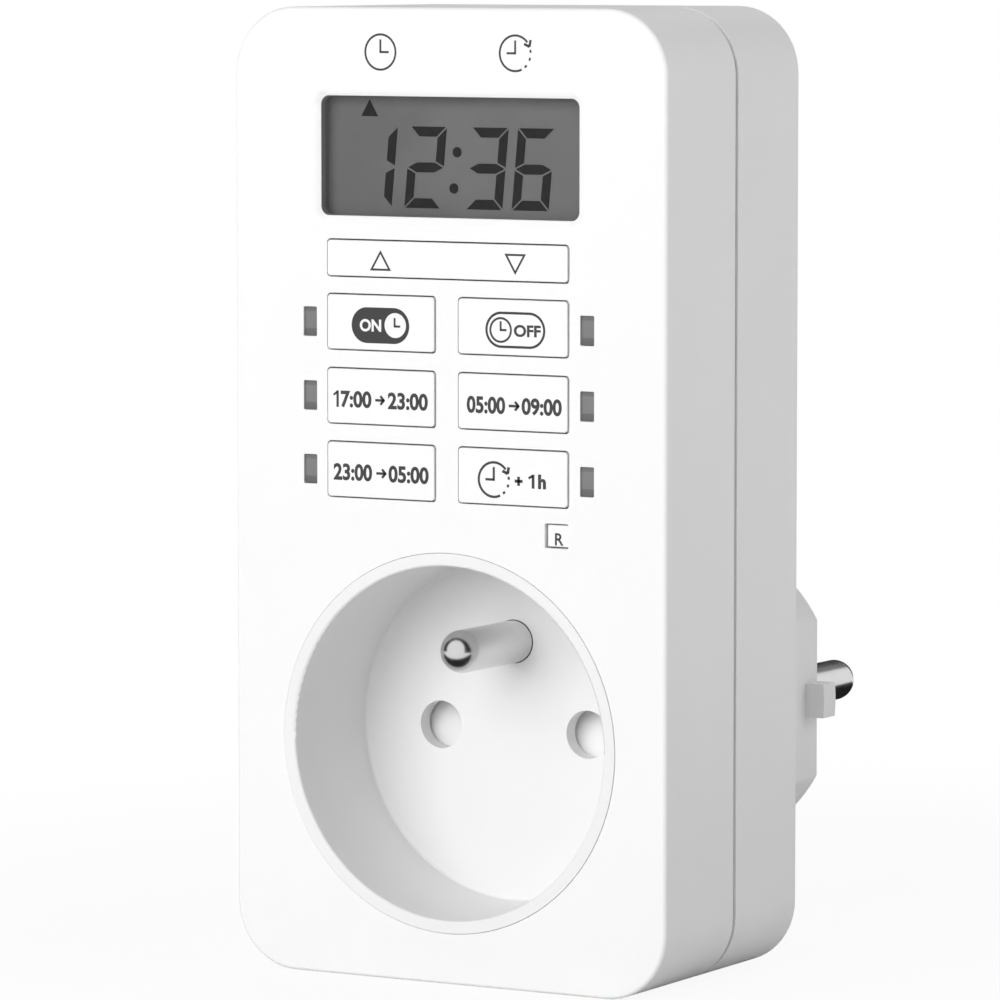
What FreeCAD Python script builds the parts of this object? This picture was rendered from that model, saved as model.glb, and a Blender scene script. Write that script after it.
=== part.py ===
import FreeCAD, Part
import math
import os

from FreeCAD import Vector

# Plug in timer switch with a digital display, a recessed front socket and a
# two pin rear plug. Millimetres. +Z is up, +Y points into the wall, +X is to
# the right seen from the front. The origin is the centre of the plug's
# engagement face, on the common axis of the plug and the socket.

# Case
BODY_W = 55.0
BODY_H = 108.2
BODY_D = 31.1
CORNER_R = 7.5
EDGE_R = 0.45
WALL = 2.0
AXIS_UP = 26.9
PARTING_DEPTH = 16.1
GROOVE = 0.7
LIP = 1.05
LIP_REACH = 1.8

# Plug on the back
PLUG_REACH = 27.4
BOSS_R = 18.45
BOSS_FLAT = 16.0
BOSS_WALL = 1.9
BOSS_FIT = 0.08
BOSS_END = 2.2
RIB_HALF_H = 2.0
RIB_LENGTH = 3.0
PIN_R = 2.4
PIN_X = 9.5
PIN_LENGTH = 19.5
PIN_SHOULDER_R = 2.9
EARTH_UP = 10.0
EARTH_HOLE_R = 3.1

# Socket on the front
RECESS_R = 19.76
RECESS_FLOOR_R = 19.44
RECESS_DEPTH = 14.83
RIM_R = 21.2
RIM_GAP = 0.05
RIM_PROUD = 0.1
CUP_FLANGE_R = 23.2
CUP_FLOOR = 2.0
CONTACT_HOLE_R = 2.72
EARTH_PIN_OUT = 14.0
EARTH_SHANK_R = 2.2
EARTH_PIN_GAP = 0.07

# Display, heights measured up from the bottom of the case
WINDOW_HALF_W = 16.45
WINDOW_LOW = 85.1
WINDOW_HIGH = 98.4
WINDOW_R = 1.0
BEVEL = 0.85
BEVEL_DEPTH = 0.45
LCD_DEPTH = 2.1
LCD_HALF_W = 18.6
LCD_BORDER = 1.2
LCD_THICK = 2.2

# Keys, heights measured up from the bottom of the case
KEY_HALF_OUT = 15.3
KEY_HALF_IN = 1.55
KEY_LOWS = (70.3, 62.05, 53.85)
KEY_H = 6.05
KEY_R = 0.4
KEY_GAP = 0.17
KEY_EDGE_R = 0.1
KEY_PROUD = 0.18
KEY_TRAVEL = 0.4
ROCKER_LOW = 78.45
ROCKER_HIGH = 82.4
ROCKER_AXLE_R = 0.6
BRACKET = 0.9
RESET_X = (12.55, 15.2)
RESET_LOW = 49.45
RESET_HIGH = 51.85
RESET_SUNK = 0.4
RESET_R = 0.12
FLANGE = 0.7

# Indicator windows
LIGHT_IN = 16.8
LIGHT_OUT = 18.55
LIGHT_LOWS = (71.6, 63.35, 55.1)
LIGHT_H = 3.3

# Boards
BOARD_HALF_W = 20.3
CONTROL_DEPTH = 7.5
CONTROL_THICK = 1.2
POWER_FRONT = -33.6
POWER_THICK = 1.6
SCREW_X = 22.9
SCREW_Z = (-22.3, 76.5)
BOARD_SCREWS = ((-18.5, 24.6), (18.5, 24.6), (-17.0, 77.1), (17.0, 77.1))

# Worked out from the sizes above
FACE_Y = -(PLUG_REACH + BODY_D)
BACK_Y = -PLUG_REACH
FRONT_END_Y = FACE_Y + PARTING_DEPTH - GROOVE / 2
REAR_START_Y = FACE_Y + PARTING_DEPTH + GROOVE / 2
INNER_FACE_Y = FACE_Y + WALL
INNER_BACK_Y = BACK_Y - 1.8
Z_LOW = -AXIS_UP
Z_HIGH = BODY_H - AXIS_UP
FLOOR_Y = FACE_Y + RECESS_DEPTH
RIM_Y = FACE_Y - RIM_PROUD
CUP_BACK_Y = FLOOR_Y + CUP_FLOOR
CONTROL_Y = FACE_Y + CONTROL_DEPTH
CONTROL_BACK_Y = CONTROL_Y + CONTROL_THICK
LCD_Y = FACE_Y + LCD_DEPTH
LCD_BACK_Y = LCD_Y + LCD_THICK
POWER_BACK_Y = POWER_FRONT + POWER_THICK


def up(height):
    """Height above the bottom of the case, as Z."""
    return height - AXIS_UP


def box(x0, x1, y0, y1, z0, z1):
    """A block between two corners."""
    return Part.makeBox(x1 - x0, y1 - y0, z1 - z0, Vector(x0, y0, z0))


def rod(x, z, r, y0, y1):
    """A round bar along Y."""
    return Part.makeCylinder(r, y1 - y0, Vector(x, y0, z), Vector(0, 1, 0))


def outline(x0, x1, z0, z1, r, y):
    """A rectangle with round corners, at one depth."""
    if r <= 0:
        corners = [Vector(x0, y, z0), Vector(x1, y, z0), Vector(x1, y, z1), Vector(x0, y, z1)]
        return Part.makePolygon(corners + corners[:1])
    edges = []
    centres = ((x1 - r, z0 + r, -90), (x1 - r, z1 - r, 0), (x0 + r, z1 - r, 90), (x0 + r, z0 + r, 180))
    arcs = []
    for cx, cz, start in centres:
        points = []
        for turn in (0, 45, 90):
            a = math.radians(start + turn)
            points.append(Vector(cx + r * math.cos(a), y, cz + r * math.sin(a)))
        arcs.append(points)
    for i, points in enumerate(arcs):
        edges.append(Part.Arc(*points).toShape())
        edges.append(Part.makeLine(points[2], arcs[(i + 1) % 4][0]))
    return Part.Wire(edges)


def slab(x0, x1, z0, z1, r, y0, y1):
    """A rounded rectangle drawn out along Y."""
    face = Part.Face(outline(x0, x1, z0, z1, r, y0))
    return face.extrude(Vector(0, y1 - y0, 0))


def join(first, *others):
    """One solid from touching solids."""
    return first.fuse(list(others)).removeSplitter()


def cut(base, *tools):
    """A solid with others taken out of it."""
    return base.cut(list(tools))


def group(solids):
    """Separate solids that share one node."""
    return Part.makeCompound(solids)


def edges_at(shape, y, radius=None):
    """Edges that lie in the plane at depth y, or only circles of one radius there."""
    found = []
    for edge in shape.Edges:
        low, high = edge.BoundBox.YMin, edge.BoundBox.YMax
        if abs(low - y) > 1e-4 or abs(high - y) > 1e-4:
            continue
        if radius is None:
            found.append(edge)
        elif isinstance(edge.Curve, Part.Circle) and abs(edge.Curve.Radius - radius) < 1e-3:
            found.append(edge)
    return found


def case_slab(inset, y0, y1):
    """The case outline, drawn in by an inset, between two depths."""
    r = max(CORNER_R - inset, 0.5)
    half = BODY_W / 2 - inset
    return slab(-half, half, Z_LOW + inset, Z_HIGH - inset, r, y0, y1)


def key_places():
    """Name and rectangle of each push key: x0, x1, z0, z1."""
    names = (("key_on", "key_off"), ("key_evening", "key_morning"), ("key_night", "key_plus_hour"))
    places = {}
    for low, pair in zip(KEY_LOWS, names):
        z0 = up(low)
        places[pair[0]] = (-KEY_HALF_OUT, -KEY_HALF_IN, z0, z0 + KEY_H)
        places[pair[1]] = (KEY_HALF_IN, KEY_HALF_OUT, z0, z0 + KEY_H)
    return places


def light_places():
    """Rectangle of each indicator window, left column then right."""
    places = []
    for side in (-1, 1):
        for low in LIGHT_LOWS:
            x0, x1 = sorted((side * LIGHT_IN, side * LIGHT_OUT))
            places.append((x0, x1, up(low), up(low) + LIGHT_H))
    return places


def screw_places():
    """Centres of the four case screws."""
    return [(x, z) for x in (-SCREW_X, SCREW_X) for z in SCREW_Z]


def front_cover():
    """Front half of the case, with its openings, screw bosses and rocker brackets."""
    outer = case_slab(0, FACE_Y, FRONT_END_Y)
    outer = outer.makeFillet(EDGE_R, edges_at(outer, FACE_Y))
    shell = cut(
        outer,
        case_slab(WALL, INNER_FACE_Y, FRONT_END_Y + 1),
        case_slab(LIP, FRONT_END_Y - LIP_REACH - 0.2, FRONT_END_Y + 1),
    )
    bosses = [rod(x, z, 2.4, INNER_FACE_Y - 0.5, FRONT_END_Y - 0.1) for x, z in screw_places()]
    bosses += [rod(x, z, 1.9, INNER_FACE_Y - 0.5, CONTROL_Y) for x, z in BOARD_SCREWS]
    for z0 in (up(ROCKER_LOW) - 0.4 - BRACKET, up(ROCKER_HIGH) + 0.4):
        bosses.append(box(-1.7, 1.7, INNER_FACE_Y - 0.5, INNER_FACE_Y + 2.2, z0, z0 + BRACKET))
    bosses = [b.common(case_slab(0.5, FACE_Y + 0.8, FRONT_END_Y)) for b in bosses]
    cover = join(shell, *bosses)

    holes = [rod(0, 0, RIM_R + RIM_GAP, FACE_Y - 1, INNER_FACE_Y + 1)]
    window = (-WINDOW_HALF_W, WINDOW_HALF_W, up(WINDOW_LOW), up(WINDOW_HIGH))
    holes.append(slab(*window, WINDOW_R, FACE_Y - 1, INNER_FACE_Y + 1))
    x0, x1, z0, z1 = window
    wide = outline(x0 - BEVEL, x1 + BEVEL, z0 - BEVEL, z1 + BEVEL, WINDOW_R + BEVEL, FACE_Y)
    narrow = outline(*window, WINDOW_R, FACE_Y + BEVEL_DEPTH)
    holes.append(Part.makeLoft([wide, narrow], True, True))
    rocker = (-KEY_HALF_OUT, KEY_HALF_OUT, up(ROCKER_LOW), up(ROCKER_HIGH), KEY_R)
    reset = (*RESET_X, up(RESET_LOW), up(RESET_HIGH), RESET_R)
    g = KEY_GAP
    for x0, x1, z0, z1, r in [*[(*place, KEY_R) for place in key_places().values()], rocker, reset]:
        holes.append(slab(x0 - g, x1 + g, z0 - g, z1 + g, r + g / 2, FACE_Y - 1, INNER_FACE_Y + 0.01))
    for x0, x1, z0, z1 in light_places():
        holes.append(slab(x0, x1, z0, z1, 0.15, FACE_Y - 1, INNER_FACE_Y + 0.01))
    for x, z in screw_places():
        holes.append(rod(x, z, 1.3, FACE_Y + 5, FRONT_END_Y + 1))
    for x, z in BOARD_SCREWS:
        holes.append(rod(x, z, 1.05, INNER_FACE_Y + 0.5, CONTROL_Y + 1))
    axle_low = Vector(0, INNER_FACE_Y + 1.0, up(ROCKER_LOW) - 3)
    height = up(ROCKER_HIGH) - up(ROCKER_LOW) + 6
    holes.append(Part.makeCylinder(ROCKER_AXLE_R + 0.05, height, axle_low, Vector(0, 0, 1)))
    return cut(cover, *holes)


def boss_section(r, flat, y0, y1):
    """The plug boss: a round bar with two flats."""
    return rod(0, 0, r, y0, y1).common(box(-flat, flat, y0, y1, -r, r))


def rear_cover():
    """Rear half of the case: a tray with screw posts and the opening for the plug body."""
    outer = case_slab(0, REAR_START_Y, BACK_Y)
    outer = outer.makeFillet(EDGE_R, edges_at(outer, BACK_Y))
    lip = case_slab(LIP + 0.1, FRONT_END_Y - LIP_REACH, REAR_START_Y + 0.1)
    shell = join(outer, lip)
    shell = cut(shell, case_slab(WALL, FRONT_END_Y - LIP_REACH - 1, INNER_BACK_Y))
    shell = cut(shell, *[rod(x, z, 2.7, FRONT_END_Y - 3, REAR_START_Y) for x, z in screw_places()])
    posts = [rod(x, z, 2.4, FRONT_END_Y + 0.05, BACK_Y - 1) for x, z in screw_places()]
    posts += [rod(x, z, 1.9, POWER_BACK_Y, BACK_Y - 1) for x, z in BOARD_SCREWS]
    posts = [p.common(case_slab(0.5, FRONT_END_Y, BACK_Y)) for p in posts]
    shell = join(shell, *posts)
    holes = [boss_section(BOSS_R + BOSS_FIT, BOSS_FLAT + BOSS_FIT, INNER_BACK_Y - 1, BACK_Y + 1)]
    for x, z in screw_places():
        holes.append(rod(x, z, 1.3, FRONT_END_Y - 1, BACK_Y + 1))
        holes.append(rod(x, z, 2.6, BACK_Y - 1.2, BACK_Y + 1))
    for x, z in BOARD_SCREWS:
        holes.append(rod(x, z, 1.05, POWER_BACK_Y - 1, BACK_Y - 1.5))
    return cut(shell, *holes)


def plug_body():
    """Plug body on the back: hollow boss with flats and ribs, flanged inside the case."""
    ribs = rod(0, 0, BOSS_R, -RIB_LENGTH, 0).common(
        box(-BOSS_R, BOSS_R, -RIB_LENGTH, 0, -RIB_HALF_H, RIB_HALF_H)
    )
    flange = boss_section(BOSS_R + 1.2, BOSS_FLAT + 1.2, INNER_BACK_Y - 1.2, INNER_BACK_Y)
    body = join(boss_section(BOSS_R, BOSS_FLAT, INNER_BACK_Y - 1.2, 0), ribs, flange)
    inside = boss_section(BOSS_R - BOSS_WALL, BOSS_FLAT - BOSS_WALL, INNER_BACK_Y - 2, -BOSS_END)
    posts = [rod(x, -10, 2.2, -BOSS_END - 1.9, -BOSS_END + 0.5) for x in (-5.5, 5.5)]
    body = join(cut(body, inside), *posts)
    holes = [rod(x, -10, 1.0, -BOSS_END - 3, -BOSS_END + 0.9) for x in (-5.5, 5.5)]
    holes += [rod(x, 0, PIN_SHOULDER_R + 0.05, -BOSS_END - 1, 1) for x in (-PIN_X, PIN_X)]
    holes.append(rod(0, EARTH_UP, EARTH_HOLE_R, -BOSS_END - 1, 1))
    return cut(body, *holes)


def socket_cup():
    """Recessed socket well with its rim, flange and contact holes."""
    body = join(
        rod(0, 0, RIM_R, RIM_Y, CUP_BACK_Y),
        rod(0, 0, CUP_FLANGE_R, INNER_FACE_Y + 0.05, INNER_FACE_Y + 1.6),
    )
    recess = Part.makeCone(
        RECESS_R, RECESS_FLOOR_R, FLOOR_Y - RIM_Y, Vector(0, RIM_Y, 0), Vector(0, 1, 0)
    )
    cup = cut(body, recess)
    cup = cup.makeFillet(0.3, edges_at(cup, RIM_Y, RECESS_R))
    cup = cup.makeFillet(0.08, edges_at(cup, RIM_Y, RIM_R))
    cup = cup.makeFillet(0.4, edges_at(cup, FLOOR_Y, RECESS_FLOOR_R))
    holes = [rod(x, 0, CONTACT_HOLE_R, FLOOR_Y - 1, CUP_BACK_Y + 1) for x in (-PIN_X, PIN_X)]
    holes.append(rod(0, EARTH_UP, PIN_R + EARTH_PIN_GAP, FLOOR_Y - 1, CUP_BACK_Y + 1))
    return cut(cup, *holes)


def socket_earth_pin():
    """Earth pin that stands in the socket, with its long shank and rivet end."""
    tip = FLOOR_Y - EARTH_PIN_OUT
    return join(
        rod(0, EARTH_UP, PIN_R, tip + PIN_R, FLOOR_Y),
        Part.makeSphere(PIN_R, Vector(0, tip + PIN_R, EARTH_UP)),
        rod(0, EARTH_UP, EARTH_SHANK_R, FLOOR_Y - 0.5, -31.4),
        rod(0, EARTH_UP, 1.4, -32, -29.8),
    )


def socket_shutter():
    """Sliding shutter behind the contact holes. The pins push its sloped faces down."""
    y0, y1 = CUP_BACK_Y + 0.12, CUP_BACK_Y + 1.92
    plate = slab(-13.0, 13.0, -3.3, 3.3, 0, y0, y1)
    slope = Part.makePolygon(
        [Vector(0, y0 - 1, -5), Vector(0, y0 - 1, 5), Vector(0, y0 + 1.5, 5), Vector(0, y0 - 0.1, -5)]
        + [Vector(0, y0 - 1, -5)]
    )
    wedges = []
    for x in (-PIN_X, PIN_X):
        wedge = Part.Face(slope).extrude(Vector(6.4, 0, 0))
        wedge.translate(Vector(x - 3.2, 0, 0))
        wedges.append(wedge)
    seat = box(-1.4, 1.4, y0 + 0.1, y1, -3.9, -3.2)
    return join(cut(plate, *wedges), seat)


def shutter_spring():
    """Compression spring under the shutter."""
    radius, wire, length = 0.95, 0.18, 8.0
    helix = Part.makeHelix(1.1, length, radius)
    profile = Part.Wire(Part.makeCircle(wire, Vector(radius, 0, 0), Vector(0, 1, 0)))
    coil = Part.Wire(helix.Edges).makePipeShell([profile], True, True)
    coil.translate(Vector(0, CUP_BACK_Y + 1.3, -4.3 - length))
    return coil


def contact_carrier():
    """Insulating block that holds the socket contacts and guides the shutter."""
    y0, y1 = CUP_BACK_Y + 2.05, -30.5
    low = box(-14.8, 14.8, y0, y1, -8, 6.3)
    high = box(-6, 6, y0, -31.5, 6.0, 14.5)
    rails = [box(x0, x0 + 1.5, CUP_BACK_Y + 0.05, y0 + 0.5, -8, 4) for x0 in (-14.8, 13.3)]
    seat = box(-4, 4, CUP_BACK_Y + 0.05, y0 + 6, -15, -12.8)
    stem = box(-4, 4, y0, y0 + 6, -15, -7)
    carrier = join(low, high, seat, stem, *rails)
    cuts = [rod(x, 0, 3.35, y0 - 1, y1 + 1) for x in (-PIN_X, PIN_X)]
    cuts += [box(x0, x0 + 6, -37.2, -29, -1.3, 1.3) for x0 in (-16, 10)]
    cuts.append(rod(0, EARTH_UP, EARTH_SHANK_R + 0.05, y0 - 1, -29))
    cuts.append(box(-1.4, 1.4, y0 - 1, y0 + 0.7, -12.8, -3))
    return cut(carrier, *cuts)


def socket_contact(side):
    """Female contact: a split spring sleeve with a tail up to the power board."""
    x = side * PIN_X
    sleeve = cut(rod(x, 0, 3.1, -39.2, -29.9), rod(x, 0, 2.5, -40, -29))
    sleeve = cut(sleeve, box(x - 0.7, x + 0.7, -40, -32.5, 0, 4))
    inner, outer = sorted((side * 12.4, side * 16.6))
    arm = box(inner, outer, -36.8, -34.2, -0.9, 0.9)
    tail_low, tail_high = sorted((side * 15.8, side * 16.6))
    tail = box(tail_low, tail_high, -36.8, -34.2, -0.9, 24.0)
    foot = box(tail_low, tail_high, -34.4, POWER_FRONT, 22.0, 24.0)
    return join(sleeve, arm, tail, foot)


def plug_pin(x):
    """Rear plug pin: round tip, shoulder in the case, flange and tail inside."""
    return join(
        rod(x, 0, PIN_R, -0.5, PIN_LENGTH - PIN_R),
        Part.makeSphere(PIN_R, Vector(x, PIN_LENGTH - PIN_R, 0)),
        rod(x, 0, PIN_SHOULDER_R, -BOSS_END - 0.5, 0),
        rod(x, 0, 3.8, -4.0, -BOSS_END),
        rod(x, 0, 2.0, -11.0, -3.5),
    )


def plug_link(side):
    """Bent strip from a plug pin's tail to the back of the power board."""
    x0, x1 = sorted((side * 7.2, side * 11.8))
    eye = box(x0, x1, -9.4, -8.6, -3.2, 8.0)
    eye = cut(eye, rod(side * PIN_X, 0, 2.05, -10, -8))
    run = box(x0, x1, -30.8, -8.6, 7.2, 8.0)
    riser = box(x0, x1, -31.6, -30.8, 7.2, 25.0)
    foot = box(x0, x1, POWER_BACK_Y, -30.8, 24.2, 25.0)
    return join(eye, run, riser, foot)


def pin_holder():
    """Plate that clamps the pin flanges and the earth sleeve inside the boss."""
    y0, y1 = -8.2, -4.1
    plate = boss_section(BOSS_R - BOSS_WALL - 0.2, BOSS_FLAT - BOSS_WALL - 0.2, y0, y1)
    holes = [rod(x, 0, 2.05, y0 - 1, y1 + 1) for x in (-PIN_X, PIN_X)]
    holes.append(rod(0, EARTH_UP, 3.35, y0 - 1, y1 + 1))
    holes += [rod(x, -10, 1.15, y0 - 1, y1 + 1) for x in (-5.5, 5.5)]
    return cut(plate, *holes)


def plug_earth_sleeve():
    """Female earth contact behind the hole in the plug face."""
    tube = cut(rod(0, EARTH_UP, 3.3, -17.6, -BOSS_END), rod(0, EARTH_UP, 2.5, -16.4, 0))
    return join(tube, rod(0, EARTH_UP, 1.4, -18.9, -17.3))


def earth_strap():
    """Bridge between the socket's earth pin and the plug's earth sleeve."""
    top = box(-2.5, 2.5, -31.2, -17.6, 12.8, 13.6)
    tabs = [box(-3, 3, y, y + 0.8, 6.6, 13.6) for y in (-31.3, -18.4)]
    holes = [rod(0, EARTH_UP, 1.45, -33, -29), rod(0, EARTH_UP, 1.45, -20, -17)]
    return cut(join(top, *tabs), *holes)


def screw(x, z, head_y, length, shank_r, head_r, head_h, towards=-1):
    """A pan head screw along Y, with a cross slot. Its shank points along towards."""
    y_end = head_y + towards * length
    shank = rod(x, z, shank_r, min(head_y, y_end), max(head_y, y_end))
    head_end = head_y - towards * head_h
    head = rod(x, z, head_r, min(head_y, head_end), max(head_y, head_end))
    head = head.makeFillet(0.3, edges_at(head, head_end))
    slot_y0, slot_y1 = sorted((head_end - 0.1 * towards, head_end + 0.5 * towards))
    slots = [box(x - 1.1, x + 1.1, slot_y0, slot_y1, z - 0.2, z + 0.2)]
    slots.append(box(x - 0.2, x + 0.2, slot_y0, slot_y1, z - 1.1, z + 1.1))
    return cut(join(head, shank), *slots)


def key_cap(place, face_y, flange, r=KEY_R):
    """A push key: cap in its opening, flange behind the cover, stem at the back."""
    x0, x1, z0, z1 = place
    cap = slab(x0, x1, z0, z1, r, face_y, INNER_FACE_Y + 0.2)
    cap = cap.makeFillet(KEY_EDGE_R, edges_at(cap, face_y))
    wide = (x0 - flange, x1 + flange, z0 - flange, z1 + flange)
    skirt = slab(*wide, KEY_R, INNER_FACE_Y + 0.1, INNER_FACE_Y + 0.8)
    xm, zm = (x0 + x1) / 2, (z0 + z1) / 2
    stem = box(xm - 0.9, xm + 0.9, INNER_FACE_Y + 0.7, INNER_FACE_Y + 2.2, zm - 0.9, zm + 0.9)
    return join(cap, skirt, stem)


def rocker_key():
    """Up and down key that tips about an axle in its middle."""
    face = FACE_Y - KEY_PROUD
    x, z0, z1 = KEY_HALF_OUT, up(ROCKER_LOW), up(ROCKER_HIGH)
    cap = slab(-x, x, z0, z1, KEY_R, face, INNER_FACE_Y + 0.6)
    cap = cap.makeFillet(KEY_EDGE_R, edges_at(cap, face))
    hub = box(-1.4, 1.4, INNER_FACE_Y, INNER_FACE_Y + 2.0, z0 + 0.2, z1 - 0.2)
    axle = Part.makeCylinder(
        ROCKER_AXLE_R, z1 - z0 + 2.5, Vector(0, INNER_FACE_Y + 1.0, z0 - 1.25), Vector(0, 0, 1)
    )
    zm = (z0 + z1) / 2
    stems = [box(s - 0.9, s + 0.9, INNER_FACE_Y, INNER_FACE_Y + 2.2, zm - 0.9, zm + 0.9) for s in (-10, 10)]
    return join(cap, hub, axle, *stems)


def key_mat():
    """Silicone contact mat with a dome under each key."""
    base_y = CONTROL_Y - 0.9
    mat = slab(-15.9, 15.9, up(53.0), up(83.4), 1.0, base_y, CONTROL_Y - 0.02)
    tab = slab(11.3, 16.3, up(48.95), up(54.0), 0.4, base_y, CONTROL_Y - 0.02)
    centres = [((a + b) / 2, (c + d) / 2) for a, b, c, d in key_places().values()]
    centres += [(s, up((ROCKER_LOW + ROCKER_HIGH) / 2)) for s in (-10, 10)]
    centres.append((sum(RESET_X) / 2, up((RESET_LOW + RESET_HIGH) / 2)))
    domes = []
    top = INNER_FACE_Y + 2.2 + KEY_TRAVEL + 0.25
    for x, z in centres:
        small = z < up(53)
        r0, r1 = (1.2, 0.8) if small else (2.4, 1.6)
        domes.append(Part.makeCone(r1, r0, base_y - top + 0.2, Vector(x, top, z), Vector(0, 1, 0)))
    return join(mat, tab, *domes)


def light_window(place):
    """Smoked light guide, sunk a little in the face, with a flange inside."""
    x0, x1, z0, z1 = place
    g = 0.04
    bar = slab(x0 + g, x1 - g, z0 + g, z1 - g, 0.15, FACE_Y + 0.25, CONTROL_Y - 1.2)
    flange = slab(x0 - 0.35, x1 + 0.35, z0 - 0.5, z1 + 0.5, 0.2, INNER_FACE_Y + 0.02, INNER_FACE_Y + 0.7)
    return join(bar, flange)


def display_pieces():
    """Window, display glass, reflector, frame and contact strip."""
    x, z0, z1 = WINDOW_HALF_W, up(WINDOW_LOW), up(WINDOW_HIGH)
    window = slab(-x + 0.05, x - 0.05, z0 + 0.05, z1 - 0.05, WINDOW_R, LCD_Y - 0.9, LCD_Y - 0.1)
    g0, g1 = z0 - LCD_BORDER, z1 + LCD_BORDER
    panel = slab(-LCD_HALF_W, LCD_HALF_W, g0, g1, 0, INNER_FACE_Y + 0.02, LCD_BACK_Y)
    reflector = slab(-16.6, 16.6, g0 + 2.3, g1 - 2.3, 0, LCD_BACK_Y, LCD_BACK_Y + 0.3)
    frame = cut(
        slab(-19.5, 19.5, g0 + 0.1, g1 + 2.2, 0.8, LCD_BACK_Y, CONTROL_Y),
        slab(-16.8, 16.8, g0 + 2.1, g1 - 2.1, 0, LCD_BACK_Y - 1, CONTROL_Y + 1),
        slab(-16.2, 16.2, g1 - 1.7, g1 - 0.1, 0, LCD_BACK_Y - 1, CONTROL_Y + 1),
    )
    strip = slab(-16.1, 16.1, g1 - 1.65, g1 - 0.15, 0, LCD_BACK_Y, CONTROL_Y)
    return {
        "display_window": window,
        "lcd_panel": panel,
        "lcd_reflector": reflector,
        "lcd_frame": frame,
        "lcd_contact_strip": strip,
    }


def control_board_pieces():
    """Front circuit board with its parts."""
    board = slab(-BOARD_HALF_W, BOARD_HALF_W, 22.0, 79.0, 1.0, CONTROL_Y, CONTROL_BACK_Y)
    holes = [rod(x, z, 1.05, CONTROL_Y - 1, CONTROL_BACK_Y + 1) for x, z in BOARD_SCREWS]
    y = CONTROL_BACK_Y
    leds = []
    for x0, x1, z0, z1 in light_places():
        xm, zm = (x0 + x1) / 2, (z0 + z1) / 2
        leds.append(box(xm - 0.65, xm + 0.65, CONTROL_Y - 0.8, CONTROL_Y, zm - 1.0, zm + 1.0))
    header_pins = [box(x - 0.3, x + 0.3, y, POWER_FRONT, 73.7, 74.3) for x in (-5, -2.5, 0, 2.5, 5)]
    header_bar = box(-6.4, 6.4, y, y + 2.4, 72.8, 75.2)
    cell = rod(-9, 36, 5.8, y, y + 5.3)
    cell = cell.makeFillet(0.6, edges_at(cell, y + 5.3))
    return {
        "control_board": cut(board, *holes),
        "control_board_screws": group(
            [screw(x, z, CONTROL_BACK_Y, 4.6, 1.0, 1.8, 1.1) for x, z in BOARD_SCREWS]
        ),
        "indicator_leds": group(leds),
        "microcontroller": box(4, 14, y, y + 1.5, 44, 54),
        "crystal": box(2, 10, y, y + 2.4, 60, 63.2),
        "backup_cell": cell,
        "board_header": join(header_bar, *header_pins),
    }


def power_board_pieces():
    """Rear circuit board with its parts."""
    board = slab(-BOARD_HALF_W, BOARD_HALF_W, 20.5, 79.0, 1.0, POWER_FRONT, POWER_BACK_Y)
    holes = [rod(x, z, 1.05, POWER_FRONT - 1, POWER_BACK_Y + 1) for x, z in BOARD_SCREWS]
    y = POWER_FRONT
    relay = slab(-18.5, 0.5, 53, 68.5, 0.5, y - 15, y)
    film = slab(3, 19, 62, 69, 0.5, y - 12, y)
    cans = {}
    places = (("supply_capacitor", 6, 48, 4, 11), ("filter_capacitor", 15.5, 50, 3.1, 7))
    for name, x, z, r, length in places:
        can = rod(x, z, r, y - length, y)
        cans[name] = can.makeFillet(0.4, edges_at(can, y - length))
    varistor = Part.makeCylinder(4.5, 3.4, Vector(-16, y - 5, 46), Vector(1, 0, 0))
    resistor = Part.makeCylinder(2.1, 11, Vector(-16, y - 2.1, 34), Vector(1, 0, 0))
    pieces = {
        "power_board": cut(board, *holes),
        "power_board_screws": group(
            [screw(x, z, POWER_FRONT, 4.5, 1.0, 1.8, 1.1, towards=1) for x, z in BOARD_SCREWS]
        ),
        "relay": relay.makeFillet(0.5, edges_at(relay, y - 15)),
        "film_capacitor": film.makeFillet(0.5, edges_at(film, y - 12)),
        "varistor": varistor.common(box(-20, 0, y - 20, y, 30, 60)),
        "fuse_resistor": resistor.makeFillet(0.4, resistor.Edges[:1]),
        "bridge_rectifier": box(6, 12.6, y - 2.6, y, 33, 37.7),
    }
    pieces.update(cans)
    return pieces


def all_pieces():
    """Every node of the timer switch."""
    pieces = {
        "front_cover": front_cover(),
        "rear_cover": rear_cover(),
        "plug_body": plug_body(),
        "socket_cup": socket_cup(),
        "socket_earth_pin": socket_earth_pin(),
        "socket_shutter": socket_shutter(),
        "shutter_spring": shutter_spring(),
        "contact_carrier": contact_carrier(),
        "live_contact": socket_contact(-1),
        "neutral_contact": socket_contact(1),
        "live_pin": plug_pin(-PIN_X),
        "neutral_pin": plug_pin(PIN_X),
        "live_link": plug_link(-1),
        "neutral_link": plug_link(1),
        "pin_holder": pin_holder(),
        "pin_holder_screws": group(
            [screw(x, -10, -8.2, 6.2, 0.95, 1.8, 1.1, towards=1) for x in (-5.5, 5.5)]
        ),
        "plug_earth_sleeve": plug_earth_sleeve(),
        "earth_strap": earth_strap(),
        "housing_screws": group(
            [screw(x, z, BACK_Y - 1.2, 21.0, 1.25, 2.35, 1.1) for x, z in screw_places()]
        ),
        "rocker_key": rocker_key(),
        "reset_key": key_cap((*RESET_X, up(RESET_LOW), up(RESET_HIGH)), FACE_Y + RESET_SUNK, 0.4, RESET_R),
        "key_mat": key_mat(),
    }
    for name, place in key_places().items():
        pieces[name] = key_cap(place, FACE_Y - KEY_PROUD, FLANGE)
    for number, place in enumerate(light_places(), 1):
        pieces[f"light_window_{number}"] = light_window(place)
    pieces.update(display_pieces())
    pieces.update(control_board_pieces())
    pieces.update(power_board_pieces())
    return pieces


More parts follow.
